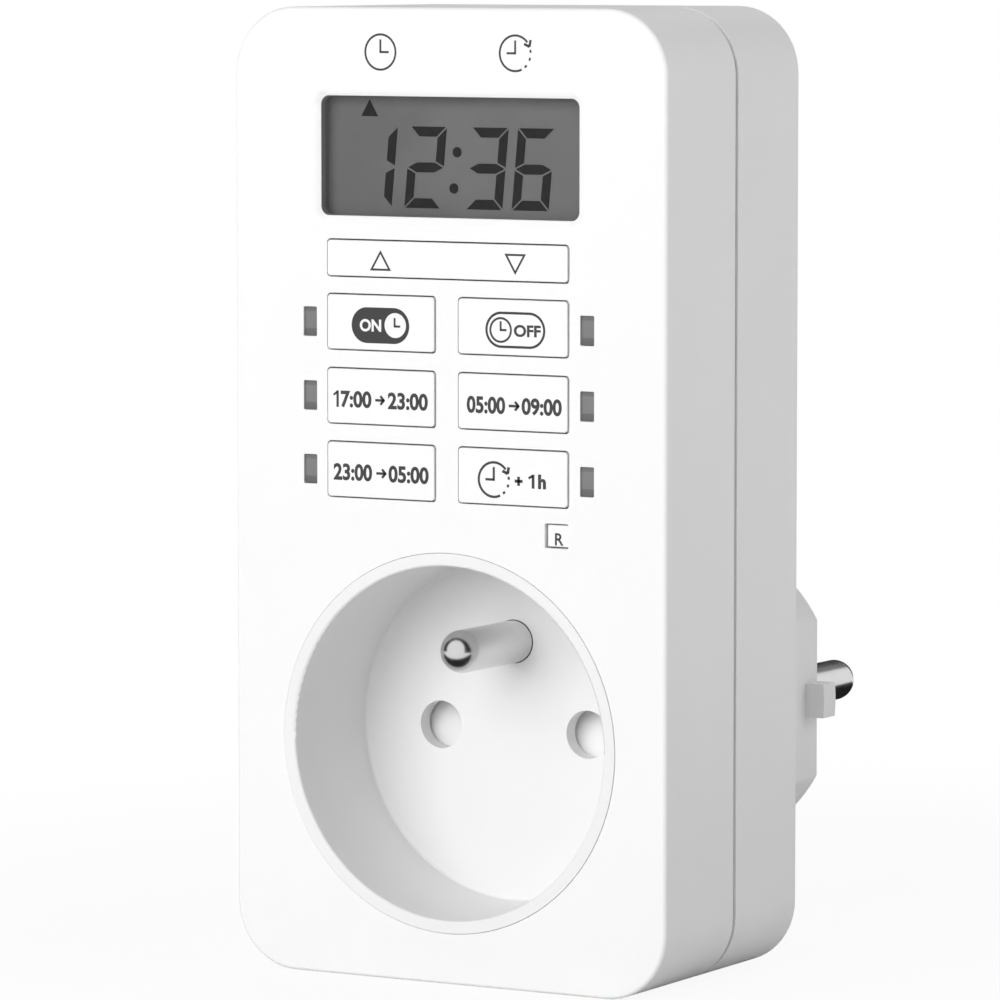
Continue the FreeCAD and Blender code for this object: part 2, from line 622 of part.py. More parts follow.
os.makedirs("parts", exist_ok=True)
for name, shape in all_pieces().items():
    if not shape.isValid():
        print("not valid:", name)
    print(name, len(shape.Solids), round(shape.Volume, 1))
    shape.exportStep(f"parts/{name}.step")
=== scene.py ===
import logging
import math
from collections.abc import Callable, Iterable
from dataclasses import dataclass
from enum import Enum
from functools import cache

import bmesh
import bpy
from mathutils import Matrix, Vector


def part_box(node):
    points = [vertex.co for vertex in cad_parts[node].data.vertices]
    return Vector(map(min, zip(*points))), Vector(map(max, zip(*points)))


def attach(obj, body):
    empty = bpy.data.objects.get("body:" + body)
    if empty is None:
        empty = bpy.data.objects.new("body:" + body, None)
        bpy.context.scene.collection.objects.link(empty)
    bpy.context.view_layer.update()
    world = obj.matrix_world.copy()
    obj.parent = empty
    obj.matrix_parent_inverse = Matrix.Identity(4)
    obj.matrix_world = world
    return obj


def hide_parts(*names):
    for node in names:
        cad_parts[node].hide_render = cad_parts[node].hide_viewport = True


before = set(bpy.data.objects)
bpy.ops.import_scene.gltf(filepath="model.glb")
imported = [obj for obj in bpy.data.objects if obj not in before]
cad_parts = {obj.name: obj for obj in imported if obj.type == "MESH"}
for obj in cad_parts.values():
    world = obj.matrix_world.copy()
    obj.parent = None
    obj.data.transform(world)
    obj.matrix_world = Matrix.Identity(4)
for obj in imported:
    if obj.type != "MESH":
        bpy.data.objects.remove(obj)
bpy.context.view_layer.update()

LOG = logging.getLogger("timer_switch")

# Sizes are in millimetres until a piece is finished; those of the studio are in metres.
MM = 0.001
AXIS_UP = 26.9
FACE_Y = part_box("front_cover")[0].y / MM
KEY_FACE_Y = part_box("key_on")[0].y / MM
RESET_FACE_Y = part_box("reset_key")[0].y / MM
CRYSTAL_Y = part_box("lcd_panel")[0].y / MM

# Points closer than WELD are one; triangles within FLAT of each other are one face.
WELD = 0.0015
FLAT = math.radians(0.3)
# Edges sharper than CRISP are rounded, in ROUND_STEPS steps.
CRISP = math.radians(50)
ROUND_STEPS = 2

# Print: thickness, steps of a circle and of a letter's curve, distance within which a
# letter's corners are one, and the angle in degrees above which an edge stays sharp.
PRINT_THICK = 0.008
RING_STEPS = 72
LETTER_STEPS = 8
LETTER_WELD = 1e-5
PRINT_SHARP = 20.0

# The values that a noise mostly keeps between.
NOISE_LOW, NOISE_HIGH = 0.3, 0.7
WHITE = (1.0, 1.0, 1.0, 1.0)
BLACK = (0.0, 0.0, 0.0, 1.0)

Colour = tuple[float, float, float]
Point = tuple[float, float, float]
Span = tuple[float, float]
# Left, right, bottom and top.
Rect = tuple[float, float, float, float]
Sockets = dict[str | int, object]
Tree = bpy.types.NodeTree
Socket = bpy.types.NodeSocket


def up(height: float) -> float:
    """Z of a height above the bottom of the case."""
    return height - AXIS_UP


def facing(y: float) -> Matrix:
    """Turns a flat drawing to face the user, with its back at depth y."""
    return Matrix.Translation((0, y, 0)) @ Matrix.Rotation(math.pi / 2, 4, "X")


def grey(value: float) -> Colour:
    """A neutral grey."""
    return (value, value, value)


def as_mesh(bm: bmesh.types.BMesh, name: str) -> bpy.types.Mesh:
    """Turns a mesh that is being built into a named one.

    Args:
        bm: the mesh being built; it is freed.
        name: the name.

    Returns:
        The named mesh.
    """
    mesh = bpy.data.meshes.new(name)
    bm.to_mesh(mesh)
    bm.free()
    return mesh


def linked(name: str, data: bpy.types.ID) -> bpy.types.Object:
    """Puts a new object in the scene.

    Args:
        name: its name.
        data: its mesh, curve, lamp or camera.

    Returns:
        The object.
    """
    made = bpy.data.objects.new(name, data)
    bpy.context.scene.collection.objects.link(made)
    return made


def feed(node: bpy.types.Node, inputs: Sockets) -> None:
    """Sets or links the inputs of a node.

    Args:
        node: the node.
        inputs: a value, or the socket it comes from, by the input's name or number.
    """
    for key, value in inputs.items():
        if isinstance(value, Socket):
            node.id_data.links.new(value, node.inputs[key])
        else:
            node.inputs[key].default_value = value


def add_node(tree: Tree, kind: str, inputs: Sockets | None = None, **settings: object) -> bpy.types.Node:
    """Adds one shader node.

    Args:
        tree: the node tree that gets it.
        kind: the end of the node's type name.
        inputs: a value, or the socket it comes from, by the input's name or number.
        settings: properties of the node itself.

    Returns:
        The new node.
    """
    node = tree.nodes.new("ShaderNode" + kind)
    for key, value in settings.items():
        setattr(node, key, value)
    feed(node, inputs or {})
    return node


def maths(tree: Tree, operation: str, *inputs: object) -> Socket:
    """Adds a piece of arithmetic.

    Args:
        tree: the node tree that gets it.
        operation: what it works out.
        inputs: values or sockets, in order.

    Returns:
        Its result.
    """
    return add_node(tree, "Math", dict(enumerate(inputs)), operation=operation).outputs[0]


def noise(tree: Tree, place: Socket, **inputs: object) -> Socket:
    """Adds a noise.

    Args:
        tree: the node tree that gets it.
        place: where it is looked up.
        inputs: its scale, detail, roughness and distortion.

    Returns:
        Its value.
    """
    named = {key.title(): value for key, value in inputs.items()}
    return add_node(tree, "TexNoise", {"Vector": place, **named}).outputs[0]


def own_place(tree: Tree) -> Socket:
    """The place on the piece itself."""
    return add_node(tree, "TexCoord").outputs["Object"]


def new_skin(name: str) -> Tree:
    """Makes an empty node group for a skin.

    Args:
        name: the group's name.

    Returns:
        The group, with its sockets and its input and output node.
    """
    tree = bpy.data.node_groups.new(name, "ShaderNodeTree")
    asked = ("Colour", "Tone Spread", "Grain Scale", "Roughness", "Roughness Spread")
    for names, way in ((asked, "INPUT"), (("Colour", "Roughness", "Height"), "OUTPUT")):
        for key in names:
            kind = "NodeSocketColor" if key == "Colour" else "NodeSocketFloat"
            tree.interface.new_socket(key, in_out=way, socket_type=kind)
    tree.nodes.new("NodeGroupInput")
    tree.nodes.new("NodeGroupOutput")
    return tree


def varied(tree: Tree, mottle: Socket, touch: Socket) -> None:
    """Varies a skin's colour and roughness a little with two noises.

    Args:
        tree: the skin's group.
        mottle: the noise that lowers the colour.
        touch: the noise that the roughness follows.
    """
    asked = tree.nodes["Group Input"].outputs
    low = maths(tree, "SUBTRACT", 1.0, asked["Tone Spread"])
    swing = {"Value": mottle, "From Min": NOISE_LOW, "From Max": NOISE_HIGH, "To Min": low, "To Max": 1.0}
    tone = add_node(tree, "MapRange", swing).outputs[0]
    paint = add_node(tree, "VectorMath", {0: asked["Colour"], "Scale": tone}, operation="SCALE")
    centred = maths(tree, "SUBTRACT", touch, 0.5)
    gloss = maths(tree, "MULTIPLY_ADD", centred, asked["Roughness Spread"], asked["Roughness"])
    feed(tree.nodes["Group Output"], {"Colour": paint.outputs[0], "Roughness": gloss})


@cache
def moulded_skin() -> Tree:
    """Skin of a moulding: spark-eroded grain, faint flow mottling, handled sheen.

    Returns:
        The group, built once.
    """
    tree = new_skin("moulded_skin")
    place = own_place(tree)
    size = tree.nodes["Group Input"].outputs["Grain Scale"]
    flow = noise(tree, place, scale=48.0, detail=3.0, distortion=0.6)
    touch = noise(tree, place, scale=210.0, detail=4.0, roughness=0.6)
    grain = noise(tree, place, scale=size, detail=2.0, roughness=0.65)
    pits = add_node(tree, "TexVoronoi", {"Vector": place, "Scale": size}, feature="SMOOTH_F1")
    height = maths(tree, "MULTIPLY_ADD", pits.outputs["Distance"], 0.45, grain)
    feed(tree.nodes["Group Output"], {"Height": height})
    varied(tree, flow, touch)
    return tree


@cache
def drawn_skin() -> Tree:
    """Skin of drawn and polished metal: fine lines along Y, cloudy plating.

    Returns:
        The group, built once.
    """
    tree = new_skin("drawn_skin")
    place = own_place(tree)
    size = tree.nodes["Group Input"].outputs["Grain Scale"]
    drawn = add_node(tree, "Mapping", {"Vector": place, "Scale": (1.0, 0.06, 1.0)}).outputs[0]
    cloud = noise(tree, place, scale=180.0, detail=3.0)
    lines = noise(tree, drawn, scale=size, detail=3.0, roughness=0.7)
    touch = noise(tree, place, scale=420.0, detail=4.0)
    feed(tree.nodes["Group Output"], {"Height": lines})
    varied(tree, cloud, touch)
    return tree


@dataclass(frozen=True)
class Finish:
    """A finish made of one of the two skins, on a Principled shader.

    Args:
        name: the material's name.
        slot: the record's material slot it stands for; not used here.
        colour: base colour, linear.
        roughness: middle roughness.
        tone_spread: how far the colour drops in the mottling.
        roughness_spread: how far the roughness swings.
        grain_size: size of one grain, mm.
        grain_depth: depth of the grain, mm.
        metallic: 1 for a metal.
        specular: specular level.
        skin: which node group gives the pattern.
    """

    name: str
    slot: str
    colour: Colour
    roughness: float = 0.45
    tone_spread: float = 0.02
    roughness_spread: float = 0.16
    grain_size: float = 0.3
    grain_depth: float = 0.004
    metallic: float = 0.0
    specular: float = 0.5
    skin: Callable[[], Tree] = moulded_skin

    @cache
    def material(self) -> bpy.types.Material:
        """Makes the finish's material the first time it is asked for.

        Returns:
            The material.
        """
        made = bpy.data.materials.new(self.name)
        made.use_nodes = True
        made.diffuse_color = (*self.colour, 1.0)
        tree = made.node_tree
        shader = tree.nodes["Principled BSDF"]
        asked = {
            "Colour": (*self.colour, 1.0),
            "Tone Spread": self.tone_spread,
            "Grain Scale": 1.0 / (self.grain_size * MM),
            "Roughness": self.roughness,
            "Roughness Spread": self.roughness_spread,
        }
        skin = add_node(tree, "Group", asked, node_tree=self.skin()).outputs
        relief = {"Strength": 0.5, "Distance": self.grain_depth * MM, "Height": skin["Height"]}
        look = {
            "Metallic": self.metallic,
            "Specular IOR Level": self.specular,
            "Base Color": skin["Colour"],
            "Roughness": skin["Roughness"],
            "Normal": add_node(tree, "Bump", relief).outputs[0],
        }
        feed(shader, look)
        self.extend(tree, shader)
        return made

    def extend(self, tree: Tree, shader: bpy.types.Node) -> None:
        """What a special finish adds to the plain one; nothing here.

        Args:
            tree: the material's nodes.
            shader: its Principled shader.
        """

    def tint(self, tree: Tree, shader: bpy.types.Node, blend: str, share: object, colour: object) -> None:
        """Mixes a colour into the base colour.

        Args:
            tree: the material's nodes.
            shader: its Principled shader.
            blend: how it is mixed in.
            share: how much of it, or the socket that says so.
            colour: the colour, or the socket that gives it.
        """
        base = shader.inputs["Base Color"].links[0].from_socket
        parts = {0: share, 6: base, 7: colour}
        mix = add_node(tree, "Mix", parts, data_type="RGBA", blend_type=blend)
        feed(shader, {"Base Color": mix.outputs[2]})


@dataclass(frozen=True)
class Metal(Finish):
    """A finish of drawn or plated metal."""

    metallic: float = 1.0
    skin: Callable[[], Tree] = drawn_skin


@dataclass(frozen=True)
class ClearWindow(Finish):
    """Clear polished window, seen mostly by what it reflects.

    Args:
        alpha: share of the light that it stops.
        haze: how far that share swings, as a part of itself.
    """

    alpha: float = 0.1
    haze: float = 0.3

    def extend(self, tree: Tree, shader: bpy.types.Node) -> None:
        """Lets most of the light straight through.

        Args:
            tree: the material's nodes.
            shader: its Principled shader.
        """
        veil = {
            "Value": noise(tree, own_place(tree), scale=160.0, detail=3.0),
            "To Min": self.alpha * (1 - self.haze),
            "To Max": self.alpha * (1 + self.haze),
        }
        feed(shader, {"Alpha": add_node(tree, "MapRange", veil).outputs[0]})


@dataclass(frozen=True)
class CircuitBoard(Finish):
    """Solder mask with tracks under it.

    Args:
        track_colour: colour of the mask over a track.
    """

    track_colour: Colour = (0.09, 0.38, 0.2)

    def extend(self, tree: Tree, shader: bpy.types.Node) -> None:
        """Draws paler tracks in the mask.

        Args:
            tree: the material's nodes.
            shader: its Principled shader.
        """
        upright = {"Vector": own_place(tree), "Rotation": (math.pi / 2, 0.0, 0.0)}
        bricks = {
            "Vector": add_node(tree, "Mapping", upright).outputs[0],
            "Scale": 420.0,
            "Mortar Size": 0.09,
            "Color1": BLACK,
            "Color2": BLACK,
            "Mortar": WHITE,
        }
        tracks = add_node(tree, "TexBrick", bricks).outputs["Color"]
        self.tint(tree, shader, "MIX", tracks, (*self.track_colour, 1.0))


@dataclass(frozen=True)
class SmokedWindow(Finish):
    """Smoked window with the lamp body behind it showing as a paler field, and painted shade darkening
    its foot and head.

    Args:
        pitch: distance from one window to the next, mm.
        foot: height of the lowest window's foot, mm.
        tall: height of a window, mm.
        stops: how bright a window shows, by the share of its height; the darker stops at the foot and the
            head are painted shade.
    """

    pitch: float = 8.25
    foot: float = 55.1
    tall: float = 3.3
    stops: tuple[Span, ...] = ((0.0, 0.55), (0.24, 0.62), (0.28, 0.95), (0.82, 1.0), (0.86, 0.72))

    def extend(self, tree: Tree, shader: bpy.types.Node) -> None:
        """Paints shade on the foot and the head of each window: the empty cavity behind and the gap at
        the top.

        Args:
            tree: the material's nodes.
            shader: its Principled shader.
        """
        height = add_node(tree, "SeparateXYZ", {0: own_place(tree)}).outputs["Z"]
        rise = maths(tree, "ADD", height, -up(self.foot) * MM)
        step = maths(tree, "MODULO", rise, self.pitch * MM)
        share = add_node(tree, "MapRange", {"Value": step, "From Max": self.tall * MM}).outputs[0]
        ramp = add_node(tree, "ValToRGB", {0: share})
        elements = ramp.color_ramp.elements
        while len(elements) < len(self.stops):
            elements.new(0.5)
        for element, (position, value) in zip(elements, self.stops):
            element.position = position
            element.color = (*grey(value), 1.0)
        self.tint(tree, shader, "MULTIPLY", 1.0, ramp.outputs[0])


WHITE_COVER = Finish("cover_white_plastic", "cover_white", grey(0.88), 0.42, 0.012)
# Dark grey for the inner wall of the display's opening in the white cover: painted shade.
OPENING_WALL_PAINTED_SHADE = Finish("opening_wall_painted_shade", "cover_white", grey(0.32), 0.5, 0.1)
WHITE_CASE = Finish("case_white_plastic", "case_white", grey(0.87), 0.45, 0.014)
# White plastic made a little darker than the cover: painted shade in the socket well.
WELL_WHITE_PAINTED_SHADE = Finish("well_white_plastic_painted_shade", "well_white", grey(0.83), 0.4, 0.014)
WHITE_KEY = Finish("key_white_plastic", "key_white", grey(0.89), 0.36, 0.01)
# Light grey plastic made paler: painted light on the shutter, which sits in shade behind the holes.
SHUTTER_PAINTED_LIGHT = Finish("shutter_plastic_painted_light", "shutter_grey", grey(0.88), 0.45, 0.03)
PLATED = Metal("nickel_plate", "plated_pin", grey(0.7), 0.22, 0.06, 0.05, 0.12, 0.0003)
SCREW_STEEL = Metal("zinc_plate", "screw_steel", (0.5, 0.5, 0.52), 0.32, 0.15, 0.2, 0.15, 0.003)
BRASS = Metal("drawn_brass", "brass", (0.72, 0.5, 0.2), 0.3, 0.12, 0.15, 0.15, 0.003)
SPRING = Metal("spring_wire", "spring_steel", (0.55, 0.55, 0.57), 0.3, 0.1, 0.15, 0.1, 0.002)
CELL_STEEL = Metal("pressed_can", "cell_steel", grey(0.65), 0.25, 0.06, 0.15, 0.2, 0.002)
FOIL = Metal("reflector_foil", "reflector_foil", (0.7, 0.7, 0.72), 0.5, 0.05, 0.1)
CARRIER = Finish("carrier_plastic", "carrier_plastic", (0.78, 0.76, 0.7), 0.55, 0.05)
FRAME_PLASTIC = Finish("frame_plastic", "frame_plastic", grey(0.8), 0.5, 0.03)
SMOKED = SmokedWindow("smoked_plastic", "smoked_window", grey(0.2), 0.3, 0.14, 0.1, 0.5, 0.001)
CLEAR = ClearWindow(
    "clear_window", "display_clear", grey(0.04), 0.05, 0.1, 0.03, 2.0, 0.0002, specular=0.1
)
LIQUID_CRYSTAL = Finish(
    "liquid_crystal", "lcd_glass", grey(0.235), 0.38, 0.22, 0.1, 0.9, 0.001, specular=0.15
)
LCD_INK = Finish(
    "crystal_segment", "lcd_glass", grey(0.022), 0.45, 0.15, 0.1, 0.4, 0.0005, specular=0.15
)
PRINT_INK = Finish("pad_print", "key_white", grey(0.045), 0.5, 0.25, 0.15, 0.12, 0.001)
PRINT_WHITE = Finish("pad_print_white", "key_white", grey(0.88), 0.5, 0.03, 0.15, 0.12, 0.001)
RUBBER = Finish("strip_rubber", "strip_rubber", (0.06, 0.06, 0.07), 0.7, 0.3)
SILICONE = Finish("grey_silicone", "silicone", (0.4, 0.42, 0.45), 0.5, 0.06)
BOARD = CircuitBoard("solder_mask", "board_green", (0.03, 0.2, 0.09), 0.3, 0.2)
LED_BODY = Finish("lamp_body", "led_body", (0.8, 0.78, 0.7), 0.3, 0.05)
CHIP = Finish("chip_package", "chip_black", grey(0.02), 0.55, 0.3)
HEADER = Finish("header_plastic", "header_black", grey(0.02), 0.45, 0.2)
FILM_BOX = Finish("film_box", "film_yellow", (0.75, 0.5, 0.06), 0.4, 0.06)
CAN_SLEEVE = Finish("shrink_sleeve", "can_sleeve", (0.03, 0.04, 0.1), 0.3, 0.1)
VARISTOR = Finish("dipped_disc", "varistor_blue", (0.04, 0.12, 0.4), 0.35, 0.1)
RESISTOR = Finish("ceramic_coat", "resistor_tan", (0.5, 0.38, 0.22), 0.65, 0.1)
CARD_FELT = Finish("card_felt", "", grey(0.03), 0.9, 0.2, specular=0.0)


def finish_piece(
    bm: bmesh.types.BMesh,
    name: str,
    finish: Finish,
    body: str = "case",
    replaces: Iterable[str] = (),
    sharp: float = 32.0,
) -> bpy.types.Object:
    """Turns a mesh in millimetres into a finished piece.

    Args:
        bm: the mesh, in place; it is freed.
        name: the piece's name.
        finish: its finish.
        body: the body it moves with.
        replaces: CAD nodes it stands for.
        sharp: edges sharper than this many degrees stay sharp.

    Returns:
        The piece, at the origin.
    """
    bm.transform(Matrix.Scale(MM, 4))
    mesh = as_mesh(bm, name)
    mesh.shade_smooth()
    mesh.set_sharp_from_angle(angle=math.radians(sharp))
    mesh.materials.append(finish.material())
    piece = linked(name, mesh)
    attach(piece, body)
    for node in replaces:
        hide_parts(node)
    LOG.info("%s: %d faces, on %s", name, len(mesh.polygons), body)
    return piece


def merged_copy(node: str) -> bmesh.types.BMesh:
    """A CAD node's mesh in millimetres, its triangles joined to whole flat faces.

    Args:
        node: the CAD node.

    Returns:
        The joined mesh.
    """
    bm = bmesh.new()
    bm.from_mesh(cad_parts[node].data)
    bm.transform(Matrix.Scale(1 / MM, 4))
    bmesh.ops.remove_doubles(bm, verts=bm.verts, dist=WELD)
    bmesh.ops.dissolve_limit(bm, angle_limit=FLAT, verts=bm.verts, edges=bm.edges)
    return bm


def softened(piece: bpy.types.Object, width: float) -> None:
    """Rounds a moulding's crisp edges a little and evens its shading.

    Args:
        piece: the moulding.
        width: width of the rounding, mm; 0 leaves the edges as they are.
    """
    if width > 0:
        bevel = piece.modifiers.new("crisp_edges", "BEVEL")
        bevel.width = width * MM
        bevel.segments = ROUND_STEPS
        bevel.limit_method = "ANGLE"
        bevel.angle_limit = CRISP
        bevel.use_clamp_overlap = True
    even = piece.modifiers.new("even_shading", "WEIGHTED_NORMAL")
    even.keep_sharp = True
    even.weight = 100


def moulding(node: str, finish: Finish, body: str = "case", soft: float = 0.0) -> bpy.types.Object:
    """A smooth piece in the shape of a CAD node.

    Args:
        node: the CAD node it stands for.
        finish: its finish.
        body: the body it moves with.
        soft: width of the rounding on its crisp edges, mm.

    Returns:
        The piece.
    """
    piece = finish_piece(merged_copy(node), node + "_moulding", finish, body, (node,))
    softened(piece, soft)
    return piece


def dress(node: str, finish: Finish) -> None:
    """Gives a CAD node its finish and leaves its shape.

    Args:
        node: the CAD node.
        finish: its finish.
    """
    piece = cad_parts[node]
    piece.data.materials.clear()
    piece.data.materials.append(finish.material())


class ClockStyle(Enum):
    """The two clock signs printed on the object."""

    PLAIN = "whole ring, hands up and right"
    COUNTDOWN = "ring with an arrow and dashes, hands up and left"


@dataclass(frozen=True)
class CountdownRing:
    """Shape of the countdown sign; its angles are in degrees, left round from the right.

    Args:
        start: start of the long arc.
        sweep: its length.
        dashes: middles of the dashes.
        dash: length of each.
        tip: where the arrow's tip lies on the ring.
        lean: how far the arrow is turned out of the ring's run.
        spread: angle between the arrow's run and a barb.
        barb: length of a barb, as a share of the radius.
        bold: width of a barb, as a share of the line.
    """

    start: float = 38
    sweep: float = 257
    dashes: tuple[float, ...] = (-47, -19, 7)
    dash: float = 10
    tip: float = 22
    lean: float = 6
    spread: float = 38
    barb: float = 0.36
    bold: float = 1.25


# Reach of a clock's hands, as shares of its radius.
HAND_UP, HAND_SIDE = 0.68, 0.52
# A figure one's flag: where it leaves the stroke and its width, as shares of the
# stroke's width, and its fall, as a share of the height.
FLAG_ROOT, FLAG_LINE, FLAG_FALL = (0.55, 0.4), 0.8, 0.27
# An arrow's head: length over half its height, and how far the barbs cross at the tip,
# as a share of the line.
ARROW_LENGTH, ARROW_CROSS = 1.05, 0.2


class Stencil:
    """A flat drawing in millimetres that is printed on a face.

    It is drawn in the XY plane and raised to a thin layer at the end.
    """

    def __init__(self) -> None:
        """Starts with an empty drawing."""
        self.bm = bmesh.new()

    def bar(self, area: Rect, turn: float = 0.0) -> list[bmesh.types.BMVert]:
        """Adds a filled rectangle.

        Args:
            area: its left, right, bottom and top.
            turn: turn about its own centre, radians.

        Returns:
            Its four corners.
        """
        x0, x1, y0, y1 = area
        place = Matrix.Translation(((x0 + x1) / 2, (y0 + y1) / 2, 0)) @ Matrix.Rotation(turn, 4, "Z")
        size = Matrix.Diagonal((x1 - x0, y1 - y0, 1, 1))
        made = bmesh.ops.create_grid(self.bm, x_segments=1, y_segments=1, size=0.5, matrix=place @ size)
        return made["verts"]

    def stroke(self, start: tuple[float, float], end: tuple[float, float], width: float) -> None:
        """Adds a straight stroke.

        Args:
            start: one end.
            end: the other end.
            width: its width.
        """
        run = Vector(end) - Vector(start)
        mid = (Vector(end) + Vector(start)) / 2
        half = run.length / 2
        area = (mid.x - half, mid.x + half, mid.y - width / 2, mid.y + width / 2)
        self.bar(area, math.atan2(run.y, run.x))

    def disc(self, x: float, y: float, radius: float) -> None:
        """Adds a filled circle.

        Args:
            x: centre.
            y: centre.
            radius: its radius.
        """
        place = Matrix.Translation((x, y, 0))
        bmesh.ops.create_circle(self.bm, cap_ends=True, segments=RING_STEPS, radius=radius, matrix=place)

    def arc(
        self, x: float, y: float, radius: float, width: float, start: float = 0.0, sweep: float = math.tau
    ) -> None:
        """Adds a ring or a part of one.

        Args:
            x: centre.
            y: centre.
            radius: radius of its middle line.
            width: width of the line.
            start: where it starts, radians.
            sweep: how far it runs, radians.
        """
        aim = Vector((math.cos(start), math.sin(start), 0))
        centre = Vector((x, y, 0))
        ends = [self.bm.verts.new(centre + aim * (radius + side * width / 2)) for side in (-1, 1)]
        edge = self.bm.edges.new(ends)
        whole = abs(sweep - math.tau) < 1e-6
        bmesh.ops.spin(
            self.bm,
            geom=[*ends, edge],
            cent=centre,
            axis=(0, 0, 1),
            angle=sweep,
            steps=max(4, round(RING_STEPS * sweep / math.tau)),
            use_merge=whole,
        )

    def pill(self, area: Rect, radius: float) -> list[bmesh.types.BMFace]:
        """Adds a filled rectangle with round ends or corners.

        Args:
            area: its left, right, bottom and top.
            radius: radius of its corners.

        Returns:
            Its face, in a list.
        """
        corners = self.bar(area)
        rounded = bmesh.ops.bevel(
            self.bm,
            geom=corners,
            offset=radius,
            offset_type="OFFSET",
            segments=16,
            profile=0.5,
            affect="VERTICES",
            material=-1,
        )
        return list({face for vert in rounded["verts"] for face in vert.link_faces})

    def hollow(self, faces: list[bmesh.types.BMFace], width: float) -> None:
        """Leaves only the border of filled shapes.

        Args:
            faces: the filled faces.
            width: width of the border.
        """
        border = {"thickness": width, "use_boundary": True, "use_even_offset": True}
        bmesh.ops.inset_region(self.bm, faces=faces, **border)
        bmesh.ops.delete(self.bm, geom=faces, context="FACES")

    def triangle(self, x: float, low: float, high: float, width: float, line: float = 0.0) -> None:
        """Adds a triangle that points up, or down where high is below low.

        Args:
            x: middle.
            low: height of its base.
            high: height of its point.
            width: width of its base.
            line: width of its outline; 0 fills it.
        """
        # The triangle in a unit circle is sqrt(3) wide and 1.5 high.
        size = Matrix.Diagonal((width / math.sqrt(3), (high - low) / 1.5, 1, 1))
        place = Matrix.Translation((x, low + (high - low) / 3, 0))
        corners = bmesh.ops.create_circle(
            self.bm, cap_ends=True, segments=3, radius=1.0, matrix=place @ size
        )["verts"]
        faces = list({face for vert in corners for face in vert.link_faces})
        if line > 0:
            self.hollow(faces, line)

    def words(self, text: str, area: Rect, weight: float = 0.0) -> None:
        """Adds plain lettering that fills a rectangle.

        Args:
            text: the letters.
            area: its left, right, bottom and top.
            weight: how much bolder the strokes are, as a share of the letter size.
        """
        curve = bpy.data.curves.new("lettering", "FONT")
        curve.body = text
        curve.offset = weight
        curve.resolution_u = LETTER_STEPS
        holder = linked("lettering", curve)
        evaluated = holder.evaluated_get(bpy.context.evaluated_depsgraph_get())
        mesh = bpy.data.meshes.new_from_object(evaluated)
        before = set(self.bm.verts)
        self.bm.from_mesh(mesh)
        fresh = [v for v in self.bm.verts if v not in before]
        bmesh.ops.remove_doubles(self.bm, verts=fresh, dist=LETTER_WELD)
        fresh = [v for v in self.bm.verts if v not in before]
        xs = [v.co.x for v in fresh]
        ys = [v.co.y for v in fresh]
        x0, x1, y0, y1 = area
        grow = Matrix.Diagonal(((x1 - x0) / (max(xs) - min(xs)), (y1 - y0) / (max(ys) - min(ys)), 1, 1))
        shift = Matrix.Translation((x0, y0, 0)) @ grow @ Matrix.Translation((-min(xs), -min(ys), 0))
        bmesh.ops.transform(self.bm, matrix=shift, verts=fresh)
        bpy.data.objects.remove(holder)
        bpy.data.curves.remove(curve)
        bpy.data.meshes.remove(mesh)

    def figure_one(self, area: Rect, line: float) -> None:
        """Adds a figure one with a flag.

        Args:
            area: its left, at the flag's end, right, bottom and top.
            line: width of its stroke.
        """
        x0, x1, y0, y1 = area
        self.bar((x1 - line, x1, y0, y1))
        root = (x1 - line * FLAG_ROOT[0], y1 - line * FLAG_ROOT[1])
        self.stroke(root, (x0, y1 - (y1 - y0) * FLAG_FALL), line * FLAG_LINE)

    def arrow(self, x0: float, x1: float, y: float, line: float, head: float) -> None:
        """Adds an arrow to the right.

        Args:
            x0: its tail.
            x1: its tip.
            y: its height.
            line: width of its lines.
            head: half the height of its head.
        """
        self.stroke((x0, y), (x1 - line / 2, y), line)
        for side in (-1, 1):
            tip = (x1, y - side * line * ARROW_CROSS)
            self.stroke((x1 - head * ARROW_LENGTH, y + side * head), tip, line)

    def clock(
        self, x: float, y: float, radius: float, line: float, style: ClockStyle, ring: bool = True
    ) -> None:
        """Adds a clock sign.

        Args:
            x: centre.
            y: centre.
            radius: outer radius.
            line: width of its lines.
            style: which of the signs.
            ring: whether a plain clock's ring is drawn.
        """
        side = 1 if style is ClockStyle.PLAIN else -1
        self.stroke((x, y - line / 2), (x, y + HAND_UP * radius), line)
        self.stroke((x, y), (x + side * HAND_SIDE * radius, y), line)
        if style is ClockStyle.COUNTDOWN:
            self.countdown(x, y, radius, line)
        elif ring:
            self.arc(x, y, radius - line / 2, line)

    def countdown(self, x: float, y: float, radius: float, line: float) -> None:
        """Adds the ring of a countdown sign, with its dashes and arrow.

        Args:
            x: centre.
            y: centre.
            radius: outer radius.
            line: width of its lines.
        """
        shape = CountdownRing()
        mid = radius - line / 2
        self.arc(x, y, mid, line, math.radians(shape.start), math.radians(shape.sweep))
        for angle in shape.dashes:
            self.arc(x, y, mid, line, math.radians(angle - shape.dash / 2), math.radians(shape.dash))
        tip = math.radians(shape.tip)
        head = Vector((x + mid * math.cos(tip), y + mid * math.sin(tip)))
        along = math.radians(shape.tip - 90 + shape.lean)
        for side in (-1, 1):
            back = along + math.pi + side * math.radians(shape.spread)
            reach = Vector((math.cos(back), math.sin(back))) * radius * shape.barb
            self.stroke(tuple(head), tuple(head + reach), line * shape.bold)

